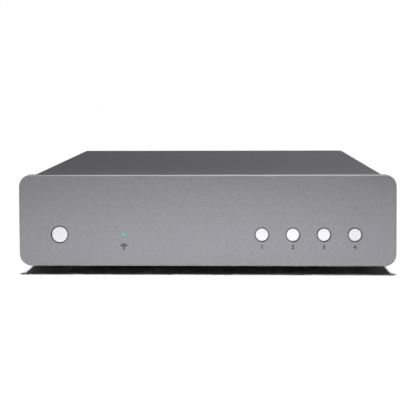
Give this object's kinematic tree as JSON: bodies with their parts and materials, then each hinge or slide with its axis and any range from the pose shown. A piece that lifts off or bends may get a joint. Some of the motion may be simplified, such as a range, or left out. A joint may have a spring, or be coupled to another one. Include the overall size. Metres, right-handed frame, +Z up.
{
  "type": "network music streamer",
  "caption": "Compact half-width network music streamer: grey aluminium face with round press buttons, steel case on rubber feet, rear jacks and folding antennas.",
  "frame": {"origin": "on the floor plane under the middle of the whole object, with both antennas folded", "axes": "+X to the right as seen from the front, +Y to the back, +Z up; the buttons face -Y"},
  "size_m": [0.215, 0.2006, 0.057],
  "materials": {
    "anodised_face": "bead-blasted and anodised grey",
    "painted_cover": "fine-textured dark grey paint on steel",
    "zinc_plated_pan": "dark grey paint on steel",
    "painted_rear": "fine-textured black paint on steel",
    "zinc_screws": "zinc plated",
    "black_screws": "black zinc plated",
    "black_moulding": "moulded, fine spark texture",
    "white_moulding": "moulded, satin",
    "clear_pipe": "clear moulding, tinted by its lamp",
    "lamp_package": "clear resin lens",
    "ribbon_jacket": "grey jacket",
    "circuit_board": "green solder mask on glass laminate",
    "chip_package": "moulded packages",
    "capacitor_sleeve": "shrink sleeve",
    "tinned_shield": "tinned sheet",
    "ferrite_core": "sintered ferrite",
    "winding_tape": "yellow tape over copper wire",
    "bare_aluminium": "extruded, black edges bare",
    "nickel_plate": "nickel plated",
    "harness_jacket": "red and black jackets",
    "gold_plate": "gold flash",
    "lead_jacket": "thin coaxial jacket",
    "antenna_moulding": "moulded, satin",
    "foot_rubber": "moulded",
    "bright_button": "turned, silver satin with a bright edge",
    "white_insert": "moulded",
    "red_insert": "moulded",
    "orange_insert": "moulded"
  },
  "bodies": {
    "case": {"antenna_jacks": "gold_plate", "antenna_leads": "lead_jacket", "antenna_nuts": "nickel_plate", "base_pan": "zinc_plated_pan", "board_screws": "zinc_screws", "board_standoffs": "zinc_screws", "button_guides": "black_moulding", "case_screws": "black_screws", "electrolytic_capacitors": "capacitor_sleeve", "ethernet_contacts": "gold_plate", "ethernet_jack": "black_moulding", "face_plate": "anodised_face", "foot_front_left": "foot_rubber", "foot_front_right": "foot_rubber", "foot_rear_left": "foot_rubber", "foot_rear_right": "foot_rubber", "foot_screws": "zinc_screws", "front_board": "circuit_board", "front_ribbon": "ribbon_jacket", "heat_sink": "bare_aluminium", "light_pipe": "clear_pipe", "main_board": "circuit_board", "main_board_chips": "chip_package", "mains_inlet": "black_moulding", "mains_inlet_pins": "nickel_plate", "network_module_board": "circuit_board", "network_module_shield": "tinned_shield", "optical_port": "black_moulding", "phono_insert_coaxial": "orange_insert", "phono_insert_left": "white_insert", "phono_insert_right": "red_insert", "phono_jack_block": "black_moulding", "phono_sleeve_coaxial": "gold_plate", "phono_sleeve_left": "gold_plate", "phono_sleeve_right": "gold_plate", "power_harness": "harness_jacket", "power_supply_board": "circuit_board", "rear_panel": "painted_rear", "status_lamp": "lamp_package", "tact_switches": "black_moulding", "top_cover": "painted_cover", "transformer_core": "ferrite_core", "transformer_winding": "winding_tape", "usb_port_shell": "nickel_plate", "usb_port_tongue": "white_moulding"},
    "power_button_body": {"power_button": "bright_button", "power_switch_actuator": "white_moulding"},
    "antenna_left_swivel_body": {"antenna_knuckle_left": "antenna_moulding"},
    "antenna_left_whip_body": {"antenna_whip_left": "antenna_moulding"},
    "antenna_right_swivel_body": {"antenna_knuckle_right": "antenna_moulding"},
    "antenna_right_whip_body": {"antenna_whip_right": "antenna_moulding"},
    "optical_shutter_body": {"optical_shutter": "black_moulding"},
    "preset_button_1_body": {"preset_button_1": "bright_button", "preset_switch_actuator_1": "white_moulding"},
    "preset_button_2_body": {"preset_button_2": "bright_button", "preset_switch_actuator_2": "white_moulding"},
    "preset_button_3_body": {"preset_button_3": "bright_button", "preset_switch_actuator_3": "white_moulding"},
    "preset_button_4_body": {"preset_button_4": "bright_button", "preset_switch_actuator_4": "white_moulding"}
  },
  "joints": [
    {"name": "power_button_press", "type": "slide", "parent": "case", "child": "power_button_body", "axis": [0, 1, 0], "range_m": [0, 0.0005], "stiffness_N_per_m": 2400, "springref_m": -0.0001},
    {"name": "preset_button_1_press", "type": "slide", "parent": "case", "child": "preset_button_1_body", "axis": [0, 1, 0], "range_m": [0, 0.0005], "stiffness_N_per_m": 2400, "springref_m": -0.0001},
    {"name": "preset_button_2_press", "type": "slide", "parent": "case", "child": "preset_button_2_body", "axis": [0, 1, 0], "range_m": [0, 0.0005], "stiffness_N_per_m": 2400, "springref_m": -0.0001},
    {"name": "preset_button_3_press", "type": "slide", "parent": "case", "child": "preset_button_3_body", "axis": [0, 1, 0], "range_m": [0, 0.0005], "stiffness_N_per_m": 2400, "springref_m": -0.0001},
    {"name": "preset_button_4_press", "type": "slide", "parent": "case", "child": "preset_button_4_body", "axis": [0, 1, 0], "range_m": [0, 0.0005], "stiffness_N_per_m": 2400, "springref_m": -0.0001},
    {"name": "antenna_left_swivel", "type": "hinge", "parent": "case", "child": "antenna_left_swivel_body", "pos_m": [-0.088, 0.08238, 0.044], "axis": [0, -1, 0], "range_deg": [0, 180]},
    {"name": "antenna_left_tilt", "type": "hinge", "parent": "antenna_left_swivel_body", "child": "antenna_left_whip_body", "pos_m": [-0.088, 0.09527, 0.044], "axis": [0, 0, 1], "range_deg": [0, 90]},
    {"name": "antenna_right_swivel", "type": "hinge", "parent": "case", "child": "antenna_right_swivel_body", "pos_m": [0.088, 0.08238, 0.044], "axis": [0, 1, 0], "range_deg": [0, 180]},
    {"name": "antenna_right_tilt", "type": "hinge", "parent": "antenna_right_swivel_body", "child": "antenna_right_whip_body", "pos_m": [0.088, 0.09527, 0.044], "axis": [0, 0, -1], "range_deg": [0, 90]},
    {"name": "optical_shutter_swing", "type": "hinge", "parent": "case", "child": "optical_shutter_body", "pos_m": [0.02596, 0.08148, 0.0235], "axis": [-1, 0, 0], "range_deg": [0, 80], "stiffness_Nm_per_rad": 0.0004, "springref_deg": -17.19}
  ]
}
